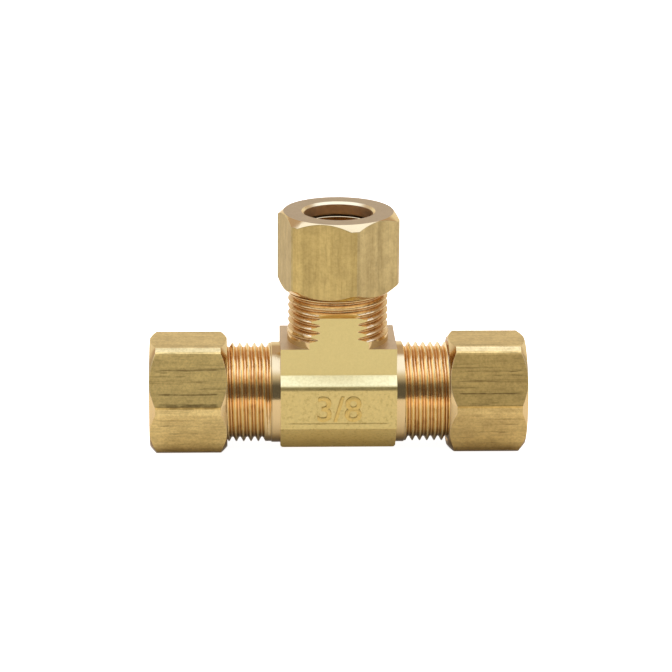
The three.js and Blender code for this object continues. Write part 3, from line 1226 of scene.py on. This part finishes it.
class FITTING_OT_nuts(bpy.types.Operator):
    """Model the three hexagon nuts with their inner threads"""

    bl_idname = "fitting.add_nuts"
    bl_label = "Nuts"

    def execute(self, context):
        scene = context.scene
        for side in LEGS:
            nut = nut_outside(side, scene)
            combine(nut, nut_inside(side, scene), "DIFFERENCE")
            combine(nut, nut_groove(side, scene), "DIFFERENCE")
            lay_along(nut, side, AXIS_HEIGHT)
            smooth(nut, NUT_SMOOTH)
            dress(nut, f"{side}_nut", "bar_brass", f"{side}_nut")
        return {"FINISHED"}


class FITTING_OT_ferrules(bpy.types.Operator):
    """Model the three ferrules that grip the tubes"""

    bl_idname = "fitting.add_ferrules"
    bl_label = "Ferrules"

    def execute(self, context):
        scene = context.scene
        legs, sizes = scene.tee_legs, scene.tee_ferrules
        tip = seat_tip(scene)
        back = tip + sizes.length
        taper = sizes.radius - sizes.tip_radius
        slope = math.tan(legs.seat_angle)
        front_end = tip + taper / slope
        back_start = back - taper
        ease = sizes.edge_round
        eased = ease * BACK_EASE
        lip = sizes.lip
        points = [(sizes.bore, tip + lip), (sizes.bore + lip, tip), (sizes.tip_radius, tip),
                  (sizes.radius - ease * slope, front_end - ease),
                  (sizes.radius, front_end + ease), (sizes.radius, back_start - ease),
                  (sizes.radius - eased, back_start + eased), (sizes.tip_radius, back),
                  (sizes.bore + lip, back), (sizes.bore, back - lip)]
        for side in LEGS:
            ring = turned(f"{side}_ferrule_dressed", points,
                          leg_brass("turned_brass", side, scene), closed=True)
            lay_along(ring, side, AXIS_HEIGHT)
            smooth(ring, SMOOTH)
            dress(ring, f"{side}_ferrule", "turned_brass", f"{side}_ferrule")
        return {"FINISHED"}


# Stage


def studio_world(stage):
    """A broad light overhead, pale behind the object, and dark behind the camera."""
    world = bpy.data.worlds.new("studio")
    bpy.context.scene.world = world
    world.use_nodes = True
    graph = Graph(world.node_tree)
    x, y, z = graph.split(graph.node("ShaderNodeTexCoord"))
    over = z.maths("ARCTAN2", z, y * -1.0)
    rise, peak, fall, back = (graph.ramp(over, *map(math.radians, band)) for band in LIGHT_BANDS)
    middle = 1.0 - graph.ramp(abs(x), *SIDE_FADE)
    above = rise * (1.0 - fall) * stage.above
    bright = peak * (1.0 - fall) * stage.overhead
    rear = fall * (1.0 - back) * stage.rear
    plain = (1.0 - rise) * stage.front + back * stage.background
    levels = []
    for tint, warm in zip(stage.overhead_tint, stage.rear_tint):
        level = above + bright * tint + rear * warm + plain
        levels.append(level * middle + (1.0 - middle) * stage.sides)
    glow = graph.node("ShaderNodeBackground",
                      {"Color": graph.vector(*levels), "Strength": 1.0})
    graph.node("ShaderNodeOutputWorld", {"Surface": glow})


def pale_floor(stage):
    """A matt floor that glows a little where the camera or the metal looks at it."""
    material = bpy.data.materials.new("pale_floor")
    material.use_nodes = True
    graph = Graph(material.node_tree)
    matt = {"Base Color": (*stage.floor, 1.0), "Roughness": 0.9, "Specular IOR Level": 0.0}
    rays = graph.node("ShaderNodeLightPath").socket.node.outputs
    surface = graph.node("ShaderNodeBsdfPrincipled", matt)
    for ray, strength in (("Is Glossy Ray", stage.glossy_glow),
                          ("Is Camera Ray", stage.camera_glow)):
        glow = {"Emission Color": (1.0, 1.0, 1.0, 1.0), "Emission Strength": strength}
        lit = graph.node("ShaderNodeBsdfPrincipled", {**matt, **glow})
        surface = graph.node("ShaderNodeMixShader",
                             {0: Socket(graph, rays[ray]), 1: surface, 2: lit})
    graph.node("ShaderNodeOutputMaterial", {"Surface": surface})
    return material


class FITTING_OT_stage(bpy.types.Operator):
    """Set up the camera, the pale floor and the studio light"""

    bl_idname = "fitting.set_stage"
    bl_label = "Stage"

    def execute(self, context):
        scene = context.scene
        stage = scene.tee_stage
        clear_selection()
        bpy.ops.mesh.primitive_circle_add(vertices=FLOOR_SIDES, radius=stage.floor_radius,
                                          fill_type="NGON", location=(0, 0, 0))
        floor = context.object
        floor.name = "floor"
        floor.data.materials.append(pale_floor(stage))
        studio_world(stage)
        tilt, swing, roll = stage.elevation, stage.swing, stage.roll
        level = math.cos(tilt)
        back = Vector((math.sin(swing) * level, -math.cos(swing) * level, math.sin(tilt)))
        right = Vector((math.cos(swing), math.sin(swing), 0))
        up = back.cross(right)
        rolled = right * math.cos(roll) + up * math.sin(roll)
        upright = up * math.cos(roll) - right * math.sin(roll)
        aim = Vector((stage.aim_side, 0, stage.aim_height))
        bpy.ops.object.camera_add()
        camera = context.object
        camera.name = "camera"
        turn = Matrix((rolled, upright, back)).transposed().to_4x4()
        camera.matrix_world = Matrix.Translation(aim + back * stage.distance) @ turn
        camera.data.sensor_width = SENSOR_WIDTH
        camera.data.lens = stage.lens
        camera.data.clip_start, camera.data.clip_end = CLIP
        scene.camera = camera
        scene.view_settings.view_transform = "Standard"
        return {"FINISHED"}


class VIEW3D_PT_fitting(bpy.types.Panel):
    """Pieces and sizes of the compression tee"""

    bl_idname = "VIEW3D_PT_fitting"
    bl_label = "Compression tee"
    bl_space_type = "VIEW_3D"
    bl_region_type = "UI"
    bl_category = "Fittings"

    def draw(self, context):
        for title, operator, groups in PANEL_ROWS:
            box = self.layout.box()
            box.operator(operator, text=title)
            for group in groups:
                held = getattr(context.scene, group)
                for name in held.bl_rna.properties.keys():
                    if name not in ("rna_type", "name"):
                        box.prop(held, name)


PANEL_ROWS = (
    ("Stage", "fitting.set_stage", ("tee_stage",)),
    ("Body", "fitting.add_tee_body", ("tee_legs", "tee_thread", "tee_block", "tee_mark")),
    ("Nuts", "fitting.add_nuts", ("tee_nuts",)),
    ("Ferrules", "fitting.add_ferrules", ("tee_ferrules", "tee_finishes")),
)

GROUPS = {
    "tee_legs": LegSizes,
    "tee_thread": ThreadSizes,
    "tee_block": BlockSizes,
    "tee_mark": MarkSizes,
    "tee_nuts": NutSizes,
    "tee_ferrules": FerruleSizes,
    "tee_finishes": Finishes,
    "tee_stage": StageSettings,
}

CLASSES = (
    *GROUPS.values(),
    FITTING_OT_stage,
    FITTING_OT_body,
    FITTING_OT_nuts,
    FITTING_OT_ferrules,
    VIEW3D_PT_fitting,
)


def register():
    for cls in CLASSES:
        bpy.utils.register_class(cls)
    for name, group in GROUPS.items():
        setattr(bpy.types.Scene, name, PointerProperty(type=group))


def unregister():
    for name in GROUPS:
        delattr(bpy.types.Scene, name)
    for cls in reversed(CLASSES):
        bpy.utils.unregister_class(cls)


def main():
    register()
    bpy.ops.fitting.set_stage()
    bpy.ops.fitting.add_tee_body()
    bpy.ops.fitting.add_nuts()
    bpy.ops.fitting.add_ferrules()


if __name__ == "__main__":
    main()
